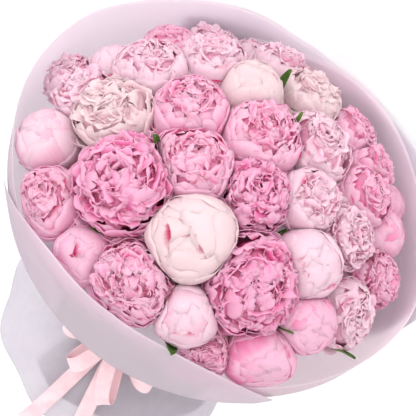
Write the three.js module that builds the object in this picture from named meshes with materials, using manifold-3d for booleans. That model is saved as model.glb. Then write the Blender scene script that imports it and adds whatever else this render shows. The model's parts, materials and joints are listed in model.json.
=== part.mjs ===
// A hand-tied bunch of peonies in paper, lying on its side. Millimetres, +Z up.
// The bunch is drawn upright about its own axis, tie at the origin and blooms towards +Z,
// and the whole group is then laid down on the back of its wrap.
import * as THREE from 'three';
import * as BufferGeometryUtils from 'three/addons/utils/BufferGeometryUtils.js';
import Module from 'manifold-3d';

const wasm = await Module();
wasm.setup();

// ---- driving dimensions -------------------------------------------------------------------
const CLEARANCE = 0.3; // smallest gap left between neighbouring pieces
const FACE_TILT = 17; // degrees by which the face of the lying bunch looks up
const DOME_RADIUS = 205; // seats of the outermost blooms, from the bunch's axis
const FACE_SCALE = DOME_RADIUS / 205; // blooms, mouth and tie all widen with the dome
const DOME_RISE = 118; // middle blooms stand this much above the outermost ones
const DOME_BASE = 290; // height of the outermost blooms above the tie
const LEAN_CENTRE = 80; // height above the tie of the spot that all heads face away from
const FULLNESS = 1.18; // heads are this much larger than their room, so they press flat
const RIM_RADIUS = DOME_RADIUS + 49 * FACE_SCALE; // inside of the paper at its mouth
const RIM_HEIGHT = DOME_BASE + 32; // the paper's edge above the tie
const SKIRT_LENGTH = 165; // paper and film left below the tie
const SKIRT_RADIUS = 178; // how wide the skirt flares at its end
// The mouth isn't round: its four sides stand this share further out than RIM_RADIUS.
const MOUTH_SPREAD = { left: 0.06, right: 0.1, upper: -0.095, lower: 0.03 };
const STEM_RADIUS = 2.9;
const STEM_SCALE = STEM_RADIUS / 2.9; // thicker stems stand further apart where they cross
const STEM_SIDES = 6;
const STEM_OVERLAP = 1.5; // how far the two lengths of a stem run into each other
const LEAF_THICKNESS = 2.4;
const STEM_BELOW_TIE = 140; // stem length under the tie
const SPIRAL_ANGLE = 28; // degrees the stems turn between blooms and tie, and again below it
const TIE_SCALE = 0.14 * STEM_SCALE; // how closely the tie draws the stems together
const CUT_SCALE = 0.2 * STEM_SCALE; // how far they open again at the cut ends
const RIBBON_WIDTH = 25;
const RIBBON_SCALE = RIBBON_WIDTH / 25; // a wider ribbon makes a larger bow
const WAIST_HALF = RIBBON_WIDTH / 2 + 3.5; // the gathered part runs this far above and below the tie
const PAPER_THICKNESS = 1.2;
const SHEET_PITCH = 3; // from one layer of paper to the next
const LAYERS = 6;
const HEAD_TO_PAPER = 1.5; // the outer blooms stop this far inside the paper
const RIBBON_THICKNESS = 1.2;
const TWINE_THICKNESS = 1.6;
const TWINE_WIDTH = 6;
// The outermost stems at the tie, with the slope they take on across the twine's width.
const STEMS_RADIUS = TIE_SCALE * 1.11 * DOME_RADIUS + STEM_RADIUS + 4 * FACE_SCALE;
// Inside of the gathered paper, with the slope of the stems over the height of the waist.
const WAIST_RADIUS = STEMS_RADIUS + TWINE_THICKNESS + WAIST_HALF * FACE_SCALE - 12;

// ---- colours --------------------------------------------------------------------------------
const IVORY = 0xf3e6e3;
const BLUSH = 0xf4cfda;
const PINK = 0xf0a8c6;
const ROSE = 0xe487b3;

function material(color, roughness) {
  return new THREE.MeshStandardMaterial({ color, roughness, metalness: 0 });
}

// ---- solids and booleans --------------------------------------------------------------------
function toManifold(geometry) {
  const bare = geometry.clone();
  bare.deleteAttribute('normal');
  bare.deleteAttribute('uv');
  const merged = BufferGeometryUtils.mergeVertices(bare, 1e-4);
  return new wasm.Manifold(new wasm.Mesh({
    numProp: 3,
    vertProperties: new Float32Array(merged.attributes.position.array),
    triVerts: new Uint32Array(merged.index.array),
  }));
}

function toGeometry(solid) {
  const mesh = solid.getMesh();
  const geometry = new THREE.BufferGeometry();
  const positions = new Float32Array(mesh.vertProperties);
  geometry.setAttribute('position', new THREE.BufferAttribute(positions, 3));
  geometry.setIndex(new THREE.BufferAttribute(new Uint32Array(mesh.triVerts), 1));
  geometry.computeVertexNormals();
  return geometry;
}

const bunch = new THREE.Group();
bunch.name = 'bunch_of_peonies';

function addPiece(name, geometry, pieceMaterial) {
  const mesh = new THREE.Mesh(geometry, pieceMaterial);
  mesh.name = name;
  bunch.add(mesh);
}

// ---- the floor, seen from the bunch's own axes -------------------------------------------------
const tilt = THREE.MathUtils.degToRad(FACE_TILT);
const FLOOR_DROP = RIM_RADIUS * Math.cos(tilt) - (RIM_HEIGHT - 10) * Math.sin(tilt);

// The lowest y that a point at height z may have when it lies `above` the floor.
function floorY(z, above) {
  return (above - FLOOR_DROP - z * Math.sin(tilt)) / Math.cos(tilt);
}

// ---- wrap surface ----------------------------------------------------------------------------
// Radius against height, from the skirt's end through the waist to the mouth.
const wrapProfile = new THREE.SplineCurve([
  new THREE.Vector2(SKIRT_RADIUS, -SKIRT_LENGTH),
  new THREE.Vector2(0.79 * SKIRT_RADIUS, -0.64 * SKIRT_LENGTH),
  new THREE.Vector2(0.4 * SKIRT_RADIUS, -0.3 * SKIRT_LENGTH),
  new THREE.Vector2(WAIST_RADIUS, -WAIST_HALF),
  new THREE.Vector2(WAIST_RADIUS, WAIST_HALF),
  new THREE.Vector2(0.28 * RIM_RADIUS, 0.15 * RIM_HEIGHT),
  new THREE.Vector2(0.56 * RIM_RADIUS, 0.31 * RIM_HEIGHT),
  new THREE.Vector2(0.83 * RIM_RADIUS, 0.49 * RIM_HEIGHT),
  new THREE.Vector2(0.95 * RIM_RADIUS, 0.66 * RIM_HEIGHT),
  new THREE.Vector2(0.99 * RIM_RADIUS, 0.83 * RIM_HEIGHT),
  new THREE.Vector2(RIM_RADIUS, RIM_HEIGHT),
  new THREE.Vector2(1.02 * RIM_RADIUS, 1.12 * RIM_HEIGHT),
]);
const PROFILE_POINTS = 220;
const profileSamples = wrapProfile.getPoints(PROFILE_POINTS);

function profileRadius(z) {
  let k = 1;
  while (k < PROFILE_POINTS && profileSamples[k].y < z) k += 1;
  const a = profileSamples[k - 1];
  const b = profileSamples[k];
  return a.x + ((b.x - a.x) * (z - a.y)) / (b.y - a.y);
}

function mouthSpread(angle) {
  const across = Math.cos(angle) > 0 ? MOUTH_SPREAD.left : MOUTH_SPREAD.right;
  const upright = Math.sin(angle) > 0 ? MOUTH_SPREAD.upper : MOUTH_SPREAD.lower;
  return across * Math.cos(angle) ** 2 + upright * Math.sin(angle) ** 2;
}

// A point of the wrap at an angle and height, `depth` mm outside its innermost face.
function wrapPoint(angle, z, depth) {
  const spread = 1 + mouthSpread(angle) * THREE.MathUtils.smoothstep(z, 60, 280);
  const flare = THREE.MathUtils.smoothstep(-z, 20, SKIRT_LENGTH);
  const folds = 7 * flare * Math.cos(9 * angle);
  const radius = profileRadius(z) * spread + folds;
  const slope = (profileRadius(z + 1) - profileRadius(z - 1)) / 2;
  const lean = Math.atan(slope);
  const reach = radius + depth * Math.cos(lean);
  const height = z - depth * Math.sin(lean);
  const lowest = floorY(height, (LAYERS - 1) * SHEET_PITCH + PAPER_THICKNESS - depth);
  const x = reach * Math.cos(angle);
  const y = Math.max(reach * Math.sin(angle), lowest);
  return new THREE.Vector3(x, y, height);
}

// Every sheet is creased along the same rows and columns, so that layers stay parallel.
const COLUMN_STEP = 10; // degrees
const ROWS = [
  -SKIRT_LENGTH, -0.78 * SKIRT_LENGTH, -0.56 * SKIRT_LENGTH, -0.34 * SKIRT_LENGTH, -WAIST_HALF,
  WAIST_HALF, 0.15 * RIM_HEIGHT, 0.26 * RIM_HEIGHT, 0.38 * RIM_HEIGHT, 0.5 * RIM_HEIGHT,
  0.63 * RIM_HEIGHT, 0.8 * RIM_HEIGHT, 2 * RIM_HEIGHT,
];
const MOUTH_ROW = ROWS.length - 1;
const WAIST_ROW = 4; // the row just under the tie

// A closed strip of paper between two columns and two rows; its last row is a shaped edge.
function sheetGeometry(fromColumn, toColumn, layer, fromRow, toRow, edgeAt) {
  const positions = [];
  const index = [];
  const inner = layer * SHEET_PITCH;
  const around = toColumn - fromColumn;
  const along = toRow - fromRow;
  const id = (side, i, j) => (side * (around + 1) + i) * (along + 1) + j;
  for (let side = 0; side < 2; side += 1) {
    for (let i = 0; i <= around; i += 1) {
      const share = i / around;
      const angle = THREE.MathUtils.degToRad((fromColumn + i) * COLUMN_STEP);
      for (let j = 0; j <= along; j += 1) {
        const z = Math.min(ROWS[fromRow + j], edgeAt(share));
        const point = wrapPoint(angle, z, inner + side * PAPER_THICKNESS);
        positions.push(point.x, point.y, point.z);
      }
    }
  }
  const quad = (a, b, c, d) => index.push(a, b, c, a, c, d);
  for (let i = 0; i < around; i += 1) {
    for (let j = 0; j < along; j += 1) {
      quad(id(1, i, j), id(1, i + 1, j), id(1, i + 1, j + 1), id(1, i, j + 1));
      quad(id(0, i, j), id(0, i, j + 1), id(0, i + 1, j + 1), id(0, i + 1, j));
    }
    quad(id(0, i, 0), id(0, i + 1, 0), id(1, i + 1, 0), id(1, i, 0));
    quad(id(0, i, along), id(1, i, along), id(1, i + 1, along), id(0, i + 1, along));
  }
  for (let j = 0; j < along; j += 1) {
    quad(id(0, 0, j), id(1, 0, j), id(1, 0, j + 1), id(0, 0, j + 1));
    quad(id(0, around, j), id(0, around, j + 1), id(1, around, j + 1), id(1, around, j));
  }
  const geometry = new THREE.BufferGeometry();
  geometry.setAttribute('position', new THREE.Float32BufferAttribute(positions, 3));
  geometry.setIndex(index);
  geometry.computeVertexNormals();
  return geometry;
}

// ---- blooms ----------------------------------------------------------------------------------
// Outlines of a head of radius 1 about its widest point: [radius, height] from base to crown.
const HEAD_OUTLINES = {
  ruffled: [[0, -0.7], [0.5, -0.62], [0.9, -0.28], [1, 0.1], [0.9, 0.48], [0.5, 0.76], [0, 0.8]],
  open: [[0, -0.72], [0.48, -0.66], [0.88, -0.32], [1, 0.1], [0.92, 0.46], [0.5, 0.7], [0, 0.7]],
  goblet: [[0, -0.82], [0.52, -0.7], [0.92, -0.28], [1, 0.16], [0.88, 0.6], [0.46, 0.84], [0, 0.84]],
  bud: [[0, -0.88], [0.52, -0.72], [0.92, -0.3], [0.98, 0.16], [0.78, 0.62], [0.42, 0.9], [0, 0.98]],
};
const HEAD_SEGMENTS = 9;

// Every peony: form, colour, radius, seat across and up the face, and how deep it sits.
const PEONIES = [
  ['open', BLUSH, 32, 236, -22, 14],
  ['open', BLUSH, 36, 196, 24, 4],
  ['open', IVORY, 46, 153, 40, 0],
  ['bud', BLUSH, 30, 193, -41, 14],
  ['goblet', BLUSH, 43, 148, -34, 0],
  ['goblet', BLUSH, 40, 95, -94, 0],
  ['bud', IVORY, 38, 38, -81, -4],
  ['open', BLUSH, 36, 26, -176, 4],
  ['open', IVORY, 38, -26, -148, 0],
  ['goblet', PINK, 44, 81, -3, 0],
  ['goblet', PINK, 46, -5, -26, 0],
  ['open', BLUSH, 43, -65, -72, 0],
  ['open', PINK, 34, -98, -156, 4],
  ['open', PINK, 34, -138, -132, 4],
  ['open', PINK, 36, -150, -76, 0],
  ['goblet', BLUSH, 38, -92, 1, 0],
  ['ruffled', ROSE, 42, -34, 43, 0],
  ['goblet', PINK, 47, 41, 61, 0],
  ['ruffled', ROSE, 55, 91, 115, 0],
  ['bud', BLUSH, 38, 201, 90, 10],
  ['goblet', PINK, 40, 154, 158, 10],
  ['bud', PINK, 34, 86, 192, 16],
  ['ruffled', PINK, 46, 18, 197, 0],
  ['bud', IVORY, 50, -6, 132, -10],
  ['bud', BLUSH, 39, -47, 187, 4],
  ['goblet', PINK, 33, -92, 202, 18],
  ['ruffled', ROSE, 54, -85, 126, 0],
  ['bud', PINK, 41, -149, 164, 12],
  ['bud', PINK, 36, -169, 107, 2],
  ['bud', BLUSH, 41, -131, 63, 0],
  ['ruffled', BLUSH, 36, -152, -2, 0],
  ['ruffled', PINK, 34, -217, -12, 6],
  ['open', BLUSH, 40, -205, 55, 8],
  ['bud', PINK, 34, -193, -71, 16],
  ['open', BLUSH, 36, 118, -184, 28],
  ['goblet', PINK, 34, 158, -136, 30],
  ['bud', BLUSH, 32, -38, -220, 28],
  ['goblet', BLUSH, 32, 68, -218, 30],
  ['bud', PINK, 30, -184, -132, 20],
];
// Peonies that keep a leaf beside the head, and the direction it rises on, in degrees.
const LEAF_TURNS = { 7: 231, 12: 20, 18: 10, 25: 99, 28: 276, 33: 115 };

function domeHeight(x, y) {
  const inside = 1 - (x * x + y * y) / (DOME_RADIUS + 45) ** 2;
  return DOME_BASE + DOME_RISE * (1.28 * Math.sqrt(Math.max(inside, 0)) - 0.28);
}

const heads = PEONIES.map(([form, color, size, x, y, depth], number) => {
  const seat = new THREE.Vector3(x * FACE_SCALE, y * FACE_SCALE, 0);
  seat.z = domeHeight(seat.x, seat.y) - depth;
  const radius = size * FACE_SCALE * FULLNESS;
  // Heads point away from a spot above the tie, so the outer ones lean out the most.
  const axis = seat.clone().sub(new THREE.Vector3(0, 0, LEAN_CENTRE)).normalize();
  return { form, color, radius, seat, axis, number: number + 1 };
});

function placeOnHead(geometry, head) {
  const turn = new THREE.Quaternion().setFromUnitVectors(new THREE.Vector3(0, 0, 1), head.axis);
  geometry.applyQuaternion(turn);
  geometry.translate(head.seat.x, head.seat.y, head.seat.z);
  return toManifold(geometry);
}

function headSolid(head) {
  const outline = HEAD_OUTLINES[head.form].map(([r, z]) => new THREE.Vector2(r, z));
  const geometry = new THREE.LatheGeometry(outline, HEAD_SEGMENTS);
  geometry.rotateX(Math.PI / 2); // the outline's height now runs along +Z
  geometry.scale(head.radius, head.radius, head.radius);
  return placeOnHead(geometry, head);
}

// A narrow leaf that grows from under the head and stands edge-on past its side.
function leafSolid(head, turnDeg) {
  const blade = new THREE.Shape();
  blade.moveTo(0, -0.9);
  blade.quadraticCurveTo(0.8, -0.75, 0.98, 0);
  blade.quadraticCurveTo(1.02, 0.6, 0.84, 1.05);
  blade.quadraticCurveTo(0.6, 0.5, 0.55, 0.1);
  blade.lineTo(0, -0.2);
  blade.closePath();
  const geometry = new THREE.ExtrudeGeometry(blade, { depth: 1, bevelEnabled: false, curveSegments: 4 });
  geometry.translate(0, 0, -0.5);
  geometry.scale(head.radius, head.radius, LEAF_THICKNESS);
  geometry.rotateX(Math.PI / 2);
  geometry.rotateZ(THREE.MathUtils.degToRad(turnDeg));
  return placeOnHead(geometry, head);
}

// The flat cut where two pressed heads meet, kept half a gap back on each side.
function pressAgainst(solid, head, other) {
  const away = head.seat.clone().sub(other.seat);
  const distance = away.length();
  away.divideScalar(distance);
  const share = (distance ** 2 + head.radius ** 2 - other.radius ** 2) / (2 * distance);
  const meeting = head.seat.clone().addScaledVector(away, -(share - CLEARANCE));
  return solid.trimByPlane([away.x, away.y, away.z], away.dot(meeting));
}

function rodBetween(low, high) {
  const along = high.clone().sub(low);
  const rod = new THREE.CylinderGeometry(STEM_RADIUS, STEM_RADIUS, along.length(), STEM_SIDES);
  const turn = new THREE.Quaternion();
  turn.setFromUnitVectors(new THREE.Vector3(0, 1, 0), along.clone().normalize());
  rod.applyQuaternion(turn);
  const centre = low.clone().add(high).multiplyScalar(0.5);
  rod.translate(centre.x, centre.y, centre.z);
  return toManifold(rod);
}

function stemSolid(head) {
  const slot = new THREE.Vector3(head.seat.x, head.seat.y, 0).multiplyScalar(TIE_SCALE);
  const spiral = THREE.MathUtils.degToRad(SPIRAL_ANGLE);
  const up = new THREE.Vector3(0, 0, 1);
  slot.applyAxisAngle(up, spiral);
  const cut = slot.clone().applyAxisAngle(up, spiral).multiplyScalar(CUT_SCALE / TIE_SCALE);
  cut.z = -STEM_BELOW_TIE;
  const top = head.seat.clone().addScaledVector(head.axis, -0.5 * head.radius);
  const joint = slot.clone().addScaledVector(up, STEM_OVERLAP);
  return rodBetween(cut, joint).add(rodBetween(slot, top));
}

const innerWall = insideOfWrap();
for (const head of heads) {
  let flower = headSolid(head);
  const leafTurn = LEAF_TURNS[head.number];
  if (leafTurn !== undefined) flower = flower.add(leafSolid(head, leafTurn));
  for (const other of heads) {
    if (other === head) continue;
    if (other.seat.distanceTo(head.seat) > head.radius * 1.5 + other.radius * 1.5) continue;
    flower = pressAgainst(flower, head, other);
  }
  flower = flower.intersect(innerWall);
  flower = flower.add(stemSolid(head));
  const label = String(head.number).padStart(2, '0');
  addPiece(`peony_${head.form}_${label}`, toGeometry(flower), material(head.color, 0.7));
}

// The room inside the wrap, as a solid that the outer blooms are pressed into.
function insideOfWrap() {
  const around = 360 / COLUMN_STEP;
  const heights = [...ROWS.slice(WAIST_ROW + 1, -1), 1.1 * RIM_HEIGHT];
  const positions = [];
  const index = [];
  for (const z of heights) {
    for (let i = 0; i < around; i += 1) {
      const angle = THREE.MathUtils.degToRad(i * COLUMN_STEP);
      const point = wrapPoint(angle, z, -HEAD_TO_PAPER);
      positions.push(point.x, point.y, point.z);
    }
  }
  const last = (heights.length - 1) * around;
  const floorCentre = positions.length / 3;
  positions.push(0, 0, WAIST_HALF);
  const roofCentre = floorCentre + 1;
  positions.push(0, 0, 3 * RIM_HEIGHT);
  for (let i = 0; i < around; i += 1) {
    const next = (i + 1) % around;
    for (let a = i, b = next; a < last; a += around, b += around) {
      index.push(a, b, b + around, a, b + around, a + around);
    }
    index.push(floorCentre, next, i, roofCentre, last + i, last + next);
  }
  const geometry = new THREE.BufferGeometry();
  geometry.setAttribute('position', new THREE.Float32BufferAttribute(positions, 3));
  geometry.setIndex(index);
  return toManifold(geometry);
}

// ---- paper and film -----------------------------------------------------------------------------
const paper = material(0xd9ccd6, 0.75);
const rosePaper = material(0xe3ccd6, 0.75);
const greyPaper = material(0xa99ea5, 0.8);
const film = material(0xd2cad8, 0.5);

// A sheet's upper edge, from its height over RIM_HEIGHT at evenly spaced places along it.
function edge(rises) {
  return (share) => {
    const place = Math.min(share * (rises.length - 1), rises.length - 1.001);
    const i = Math.floor(place);
    return RIM_HEIGHT + THREE.MathUtils.lerp(rises[i], rises[i + 1], place - i);
  };
}

const uncut = () => Infinity;
const RIGHT_EDGE = [-34, -26, -6, 8, 13, 8, 8, 13, 22, 26, 12, -14];
const LEFT_EDGE = [10, 20, 28, 26, 21, 17, 20, 30, 24, 20, 16, -26, -34, -34];
const FRONT_EDGE = [-60, -28, 4, 20, 16, 20, 23, 17, 8, -22, -60];
const BACK_EDGE = [6, 22, 26, 14, 6, 6, 0, -14];
addPiece('wrap_sheet_right', sheetGeometry(12, 29, 0, WAIST_ROW, MOUTH_ROW, edge(RIGHT_EDGE)), rosePaper);
addPiece('wrap_sheet_left', sheetGeometry(-12, 7, 1, WAIST_ROW, MOUTH_ROW, edge(LEFT_EDGE)), paper);
addPiece('wrap_sheet_front', sheetGeometry(3, 14, 2, WAIST_ROW, MOUTH_ROW, edge(FRONT_EDGE)), paper);
addPiece('wrap_sheet_back', sheetGeometry(18, 31, 3, WAIST_ROW, MOUTH_ROW, edge(BACK_EDGE)), greyPaper);
addPiece('skirt_paper', sheetGeometry(6, 32, 4, 1, WAIST_ROW + 1, uncut), greyPaper);
addPiece('skirt_film', sheetGeometry(-16, 18, 5, 0, WAIST_ROW + 1, uncut), film);

// ---- twine and ribbon ---------------------------------------------------------------------------
function ringGeometry(inner, outer, low, high, segments) {
  const section = [
    new THREE.Vector2(inner, low), new THREE.Vector2(outer, low),
    new THREE.Vector2(outer, high), new THREE.Vector2(inner, high), new THREE.Vector2(inner, low),
  ];
  const geometry = new THREE.LatheGeometry(section, segments);
  geometry.rotateX(Math.PI / 2);
  return geometry;
}

const twine = material(0xb9a27c, 0.9);
const satin = material(0xf1cfd5, 0.35);
addPiece('tying_twine', ringGeometry(STEMS_RADIUS, STEMS_RADIUS + TWINE_THICKNESS,
  -TWINE_WIDTH / 2, TWINE_WIDTH / 2, 32), twine);

const BAND_RADIUS = WAIST_RADIUS + LAYERS * SHEET_PITCH;
addPiece('ribbon_band', ringGeometry(BAND_RADIUS, BAND_RADIUS + RIBBON_THICKNESS,
  -RIBBON_WIDTH / 2, RIBBON_WIDTH / 2, 32), satin);

// A flat ribbon that follows a path in the plane, its width across that plane.
function ribbonGeometry(points, width) {
  const outer = new THREE.CatmullRomCurve3(points.map(([a, b]) => new THREE.Vector3(a, b, 0)));
  const samples = outer.getPoints(points.length * 4);
  const shape = new THREE.Shape();
  const sides = samples.map((point, i) => {
    const before = samples[Math.max(i - 1, 0)];
    const after = samples[Math.min(i + 1, samples.length - 1)];
    const along = after.clone().sub(before).normalize();
    const half = RIBBON_THICKNESS / 2;
    return {
      left: new THREE.Vector2(point.x - along.y * half, point.y + along.x * half),
      right: new THREE.Vector2(point.x + along.y * half, point.y - along.x * half),
    };
  });
  shape.setFromPoints([...sides.map((s) => s.left), ...sides.map((s) => s.right).reverse()]);
  const geometry = new THREE.ExtrudeGeometry(shape, { depth: width, bevelEnabled: false });
  geometry.translate(0, 0, -width / 2);
  return geometry;
}

const KNOT_Y = BAND_RADIUS + RIBBON_THICKNESS + CLEARANCE;
const KNOT_HEIGHT = 14 * RIBBON_SCALE;
const KNOT_HALF_WIDTH = 15 * RIBBON_SCALE;
const KNOT_DEPTH = 12 * RIBBON_SCALE;
const ROOT = KNOT_HALF_WIDTH + 5 * RIBBON_SCALE; // where ribbons leave the knot
const PINCH = 0.2; // width of a ribbon at the knot, as a share of its full width
const knot = new THREE.SphereGeometry(1, 12, 8);
knot.scale(KNOT_HALF_WIDTH, KNOT_HEIGHT / 2, KNOT_DEPTH);
knot.translate(0, KNOT_Y + KNOT_HEIGHT / 2, 0);
addPiece('ribbon_knot', toGeometry(toManifold(knot)), satin);

// A ribbon leaves the knot pinched, and widens to its full width further out.
function fanOut(ribbon) {
  const position = ribbon.attributes.position;
  for (let i = 0; i < position.count; i += 1) {
    const opened = THREE.MathUtils.smoothstep(position.getX(i), KNOT_HALF_WIDTH, 4 * KNOT_HALF_WIDTH);
    position.setZ(i, position.getZ(i) * THREE.MathUtils.lerp(PINCH, 1, opened));
  }
}

function addRibbon(name, points, turnDeg, pitchDeg) {
  const ribbon = ribbonGeometry(points, RIBBON_WIDTH);
  fanOut(ribbon);
  ribbon.rotateZ(THREE.MathUtils.degToRad(pitchDeg));
  ribbon.rotateY(-THREE.MathUtils.degToRad(turnDeg));
  ribbon.translate(0, KNOT_Y, 0);
  addPiece(name, ribbon, satin);
}

// Each loop leaves the knot, bends back above itself and comes home: [outward, up] points.
const LOOPS = [
  { name: 'ribbon_loop_left', turn: -169, reach: 100, rise: 30, pitch: 26 },
  { name: 'ribbon_loop_right', turn: -12, reach: 90, rise: 30, pitch: 26 },
  { name: 'ribbon_loop_lower_left', turn: -128, reach: 122, rise: 32, pitch: 50 },
  { name: 'ribbon_loop_lower_right', turn: -50, reach: 104, rise: 30, pitch: 50 },
];
for (const { name, turn, reach: fullReach, rise: fullRise, pitch } of LOOPS) {
  const reach = fullReach * RIBBON_SCALE;
  const rise = fullRise * RIBBON_SCALE;
  addRibbon(name, [
    [ROOT, 4 * RIBBON_SCALE], [0.5 * reach, 0.12 * rise], [0.9 * reach, 0.25 * rise], [reach, 0.6 * rise],
    [0.86 * reach, rise], [0.5 * reach, 0.85 * rise], [ROOT, 8 * RIBBON_SCALE],
  ], turn, pitch);
}
const TAIL = [[20, 8], [34, 26], [50, 50], [80, 84], [110, 114], [140, 136], [168, 150]]
  .map(([out, up]) => [out * RIBBON_SCALE, up * RIBBON_SCALE]);
addRibbon('ribbon_tail_left', TAIL, -103, 0);
addRibbon('ribbon_tail_right', TAIL, -75, 0);

// ---- lay it down and rest it on the floor ---------------------------------------------------------
bunch.rotation.x = Math.PI / 2 - tilt;
bunch.updateMatrixWorld(true);
const extent = new THREE.Box3().setFromObject(bunch, true);
const middle = extent.getCenter(new THREE.Vector3());
bunch.position.set(-middle.x, -middle.y, -extent.min.z);
bunch.updateMatrixWorld(true);

export default bunch;
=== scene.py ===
"""Looks of a hand-tied bunch of peonies that lies on the back of its paper wrap. Metres, +Z up."""

import json
import math

import bmesh
import bpy
import numpy as np
from mathutils import Matrix, Vector
from mathutils.bvhtree import BVHTree


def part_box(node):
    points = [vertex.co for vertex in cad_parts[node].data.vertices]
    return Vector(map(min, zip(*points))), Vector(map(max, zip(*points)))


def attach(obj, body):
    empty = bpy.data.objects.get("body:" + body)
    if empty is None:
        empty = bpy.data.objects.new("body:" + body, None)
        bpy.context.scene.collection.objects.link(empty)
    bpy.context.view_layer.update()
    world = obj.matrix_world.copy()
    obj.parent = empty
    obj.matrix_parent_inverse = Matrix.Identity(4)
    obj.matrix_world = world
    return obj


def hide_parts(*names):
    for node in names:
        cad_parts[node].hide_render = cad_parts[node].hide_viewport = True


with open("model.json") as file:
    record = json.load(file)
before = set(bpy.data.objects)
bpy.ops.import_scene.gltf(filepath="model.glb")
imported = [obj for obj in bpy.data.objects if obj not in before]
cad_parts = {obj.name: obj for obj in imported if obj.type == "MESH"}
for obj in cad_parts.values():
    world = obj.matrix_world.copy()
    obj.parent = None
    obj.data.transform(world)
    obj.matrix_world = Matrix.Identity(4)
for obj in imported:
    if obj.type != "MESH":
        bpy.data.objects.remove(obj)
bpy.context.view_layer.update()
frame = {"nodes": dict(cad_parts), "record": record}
MM = 0.001

# ---- the bunch's own axes, read from the twine that ties it ------------------------------------


def node_points(name):
    return np.array([v.co for v in frame["nodes"][name].data.vertices])


def bunch_axes():
    """The tie's centre and the bunch's across, up and facing directions."""
    ring = node_points("tying_twine")
    low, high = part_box("tying_twine")
    _, directions = np.linalg.eigh(np.cov((ring - ring.mean(0)).T))
    facing = directions[:, 0]
    if facing[1] > 0:
        facing = -facing
    across = np.array([1.0, 0.0, 0.0])
    return np.array((low + high) / 2), across, np.cross(facing, across), facing


TIE, ACROSS, UP, FACING = bunch_axes()
AXES = np.array([ACROSS, UP, FACING])


def to_world(points):
    return np.asarray(points) @ AXES + TIE


def to_bunch(points):
    return (np.asarray(points) - TIE) @ AXES.T


# ---- camera --------------------------------------------------------------------------------------
VIEW_OFF_AXIS = math.radians(33)  # the camera looks this far above the bunch's face
VIEW_ROLL = math.radians(35)
VIEW_DISTANCE = 1.55
VIEW_WIDTH = 0.526  # across the picture at the blooms
VIEW_DROP = 0.014
BLOOM_BASE = 290 * MM


def add_camera():
    look = math.cos(VIEW_OFF_AXIS) * FACING + math.sin(VIEW_OFF_AXIS) * UP
    handle = math.cos(VIEW_OFF_AXIS) * UP - math.sin(VIEW_OFF_AXIS) * FACING
    right = -math.sin(VIEW_ROLL) * handle - math.cos(VIEW_ROLL) * ACROSS
    upward = -math.cos(VIEW_ROLL) * handle + math.sin(VIEW_ROLL) * ACROSS
    target = TIE + BLOOM_BASE * FACING + VIEW_DROP * handle
    data = bpy.data.cameras.new("camera")
    data.sensor_width = 36
    data.lens = 36 * VIEW_DISTANCE / VIEW_WIDTH
    camera = bpy.data.objects.new("camera", data)
    place = target + VIEW_DISTANCE * look
    turn = np.array([right, upward, look]).T
    matrix = Matrix([list(turn[i]) + [place[i]] for i in range(3)] + [[0, 0, 0, 1]])
    camera.matrix_world = matrix
    bpy.context.scene.collection.objects.link(camera)
    bpy.context.scene.camera = camera


add_camera()


# ---- node materials --------------------------------------------------------------------------------
def linear(rgb):
    """sRGB bytes to linear colour."""
    channels = [c / 255 for c in rgb]
    return tuple(c / 12.92 if c <= 0.04045 else ((c + 0.055) / 1.055) ** 2.4 for c in channels) + (1,)


class Shader:
    """A small helper that adds and links the nodes of one material."""

    def __init__(self, name):
        self.material = bpy.data.materials.new(name)
        self.material.use_nodes = True
        self.tree = self.material.node_tree
        self.tree.nodes.clear()
        self.output = self.tree.nodes.new("ShaderNodeOutputMaterial")

    def node(self, kind, inputs=None, **settings):
        made = self.tree.nodes.new(kind)
        for key, value in settings.items():
            setattr(made, key, value)
        for key, value in (inputs or {}).items():
            if isinstance(value, bpy.types.NodeSocket):
                self.tree.links.new(value, made.inputs[key])
            else:
                made.inputs[key].default_value = value
        return made

    def attribute(self, name):
        return self.node("ShaderNodeAttribute", attribute_name=name)

    def ramp(self, factor, stops):
        made = self.node("ShaderNodeValToRGB", {"Fac": factor})
        ramp = made.color_ramp
        ramp.interpolation = "EASE"
        while len(ramp.elements) < len(stops):
            ramp.elements.new(0.5)
        for element, (place, color) in zip(ramp.elements, stops):
            element.position = place
            element.color = color if len(color) == 4 else (*color, 1)
        return made.outputs["Color"]

    def mix(self, factor, first, second):
        made = self.node("ShaderNodeMix", data_type="RGBA")
        for socket, value in ((made.inputs[0], factor), (made.inputs[6], first), (made.inputs[7], second)):
            if isinstance(value, bpy.types.NodeSocket):
                self.tree.links.new(value, socket)
            else:
                socket.default_value = value
        return made.outputs[2]

    def math(self, operation, first, second=0.0, clamp=False):
        made = self.node("ShaderNodeMath", operation=operation, use_clamp=clamp)
        for socket, value in zip(made.inputs, (first, second)):
            if isinstance(value, bpy.types.NodeSocket):
                self.tree.links.new(value, socket)
            else:
                socket.default_value = value
        return made.outputs[0]

    def noise(self, vector, scale, detail=2.0, roughness=0.5):
        inputs = {"Vector": vector, "Scale": scale, "Detail": detail, "Roughness": roughness}
        return self.node("ShaderNodeTexNoise", inputs).outputs["Fac"]

    def finish(self, shader):
        self.tree.links.new(shader, self.output.inputs["Surface"])
        return self.material


def leafy_surface(shader, color, through, roughness, normal, share):
    """A thin living or paper surface: light both bounces off it and glows through it."""
    front = shader.node("ShaderNodeBsdfPrincipled", {
        "Base Color": color, "Roughness": roughness, "Normal": normal})
    front.inputs["Specular IOR Level"].default_value = 0.25
    back = shader.node("ShaderNodeBsdfTranslucent", {"Color": through, "Normal": normal})
    mixed = shader.node("ShaderNodeMixShader", {0: share, 1: front.outputs[0], 2: back.outputs[0]})
    return mixed.outputs[0]


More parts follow.
